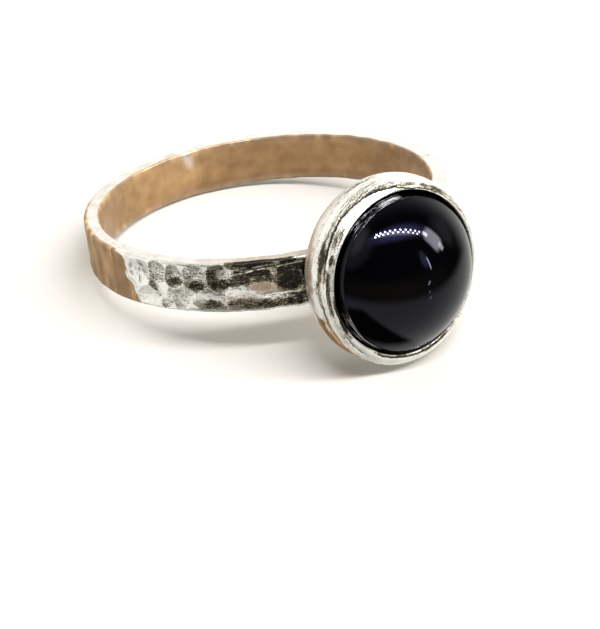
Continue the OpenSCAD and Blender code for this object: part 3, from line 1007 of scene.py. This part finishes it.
# The studio that the ring mirrors. Directions are x right, y back, z up; brightness
# is 1 for white paper.
studio = {
    # whites: ramps along a direction, each from one reach to another and from one
    # brightness to another; the ramps of a white are multiplied, or the lowest counts
    "whites": [
        # the sweep behind, and a card above on the left
        ("MULTIPLY", [((0, 1, 0), -0.2, 0.33, 0.0, 1.0), ((0, 0, 1), 0.3, 0.9, 1.0, 0.7)]),
        ("MULTIPLY", [((-1.05, 0, 1), 1.20, 1.34, 0.0, 0.45)]),
        # the paper under and round the ring, which fades into the dark room in front, and behind it
        ("MINIMUM", [((0, 0, -1), 0.10, 0.33, 0.0, 1.0), ((0, 0.15, -1), 0.10, 0.33, 0.0, 1.0)]),
        ("MULTIPLY", [((0, 1, 0), 0.0, 0.3, 0.0, 1.0), ((0, 0, 1), 0.02, -0.02, 0.0, 0.9)]),
    ],
    # the ring's own shadow on the paper, as the stone mirrors it
    "shadow": [
        ((-0.502, 0.447, -0.740), 0.44, 0.53, 0.0, 1.0), ((0, 0, -1), 0.40, 0.54, 0.0, 1.0),
        ((0, 1, 0), 0.05, -0.2, 0.4, 1.0)],
    # soft lights: direction, the way it is long, half length, half height, brightness, colour
    "soft": [
        ((0.13, -0.47, 0.87), (1.0, -0.05, -0.2), 0.52, 0.15, 4.0, "b8acf2"),  # glow round the strip
        ((0.13, -0.48, 0.87), (0.95, -0.2, -0.22), 0.44, 0.05, 9.0, "f4f4e2"),
        ((-0.60, -0.14, 0.78), (-0.41, -0.13, -0.33), 0.30, 0.14, 1.5, "eae5d6"),
        ((0.630, -0.490, 0.600), (0.2, -0.1, -0.3), 0.055, 0.042, 55.0, "eceade"),  # small window
        ((0.735, -0.505, 0.450), (0.25, -0.1, -0.45), 0.20, 0.145, 19.0, "dad8cf"),
        ((0.820, -0.500, 0.260), (0.25, -0.1, -0.45), 0.07, 0.05, 20.0, "dcdcd2"),
        ((0.515, -0.825, 0.220), (0.08, -0.1, -0.5), 0.12, 0.014, 26.0, "eef2ff"),  # slit of a blind
        ((0.430, -0.830, 0.330), (0.08, -0.1, -0.5), 0.16, 0.08, 1.8, "c8e0e4"),
        ((0.440, -0.890, -0.120), (0.6, 0, 0.8), 0.04, 0.018, 12.0, "eef2ff"),
        ((0.430, -0.850, -0.290), (0, 0, 1), 0.03, 0.018, 4.0, "eef2ff"),
        ((0.440, -0.800, -0.400), (0, 0, 1), 0.03, 0.02, 4.0, "eef2ff"),
        ((0.920, -0.220, 0.320), (0, 0, 1), 0.25, 0.18, 0.5, "f6f4f6"),
        ((-0.30, -0.94, -0.14), (1, 0, 0), 0.95, 0.26, 0.45, "c2a77c"),    # dim warm light low in front
    ],
    "softReach": (0.2, 0.5),  # a soft light fades out to the sides between these
    "squareFrom": 10,         # a light as bright as this has squarer edges, like a window
    "white": "fffefa",
    "room": 0.004,
}


def rampsAlong(tree, way, operation, ramps):
    total = None
    for toward, low, high, start, stop in ramps:
        reach = addNode(tree, "VectorMath", {0: way, 1: toward}, "Value", operation="DOT_PRODUCT")
        ends = {"Value": reach, "From Min": low, "From Max": high, "To Min": start, "To Max": stop}
        ramp = addNode(tree, "MapRange", ends, interpolation_type="SMOOTHSTEP")
        total = ramp if total is None else addNode(tree, "Math", {0: total, 1: ramp}, operation=operation)
    return total


def softLight(tree, way, centre, long, halfLong, halfHigh, brightness):
    c, u = Vector(centre).normalized(), Vector(long)
    u = (u - u.dot(c) * c).normalized()
    power = 2 if brightness < studio["squareFrom"] else 4
    away = []
    for toward in (u / halfLong, c.cross(u) / halfHigh):
        reach = addNode(tree, "VectorMath", {0: way, 1: tuple(toward)}, "Value", operation="DOT_PRODUCT")
        reach = addNode(tree, "Math", {0: reach}, operation="ABSOLUTE")
        away.append(addNode(tree, "Math", {0: reach, 1: power}, operation="POWER"))
    spread = addNode(tree, "Math", {0: away[0], 1: away[1]}, operation="ADD")
    spread = addNode(tree, "Math", {0: spread, 1: spread}, operation="MULTIPLY")
    spread = addNode(tree, "Math", {0: spread, 1: -1.0}, operation="MULTIPLY")
    faded = addNode(tree, "Math", {0: spread}, operation="EXPONENT")
    faced = rampsAlong(tree, way, "MULTIPLY", [(tuple(c), *studio["softReach"], 0.0, brightness)])
    return addNode(tree, "Math", {0: faded, 1: faced}, operation="MULTIPLY")


def makeWorld():
    world = bpy.data.worlds.new("white sweep behind, dark room in front")
    bpy.context.scene.world = world
    world.use_nodes = True
    tree = world.node_tree
    tree.nodes.clear()
    way = addNode(tree, "TexCoord", output="Generated")
    white = rampsAlong(tree, way, *studio["whites"][0])
    for operation, ramps in studio["whites"][1:]:
        part = rampsAlong(tree, way, operation, ramps)
        white = addNode(tree, "Math", {0: white, 1: part}, operation="MAXIMUM")
    shaded = rampsAlong(tree, way, "MULTIPLY", studio["shadow"])
    lit = addNode(tree, "Math", {0: 1.0, 1: shaded}, operation="SUBTRACT")
    white = addNode(tree, "Math", {0: white, 1: lit}, operation="MULTIPLY")
    white = addNode(tree, "Math", {0: white, 1: studio["room"]}, operation="ADD")
    total = addNode(tree, "Background", {"Color": linear(studio["white"]), "Strength": white})
    for *light, colour in studio["soft"]:
        shade = addNode(tree, "Background", {"Color": linear(colour), "Strength": softLight(tree, way, *light)})
        total = addNode(tree, "AddShader", {0: total, 1: shade})
    addNode(tree, "OutputWorld", {"Surface": total})


makeWorld()
print("lit")

cameraSpec = {
    "place": (-0.057986, -0.087446, 0.061573),   # metres
    "forward": (0.47385, 0.71138, -0.51904),
    "up": (0.31053, 0.41656, 0.85443),
    "lens": 138.934,
    "sensor": 36,
    "clip": (0.01, 10),
}


def makeCamera():
    data = bpy.data.cameras.new("camera")
    data.lens = cameraSpec["lens"]
    data.sensor_width = cameraSpec["sensor"]
    data.sensor_fit = "HORIZONTAL"
    data.clip_start, data.clip_end = cameraSpec["clip"]
    camera = bpy.data.objects.new("camera", data)
    bpy.context.scene.collection.objects.link(camera)
    camera.matrix_world = aimed(cameraSpec["place"], -Vector(cameraSpec["forward"]), cameraSpec["up"])
    bpy.context.scene.camera = camera


makeCamera()
bpy.context.scene.view_settings.view_transform = "Standard"
print("camera placed")
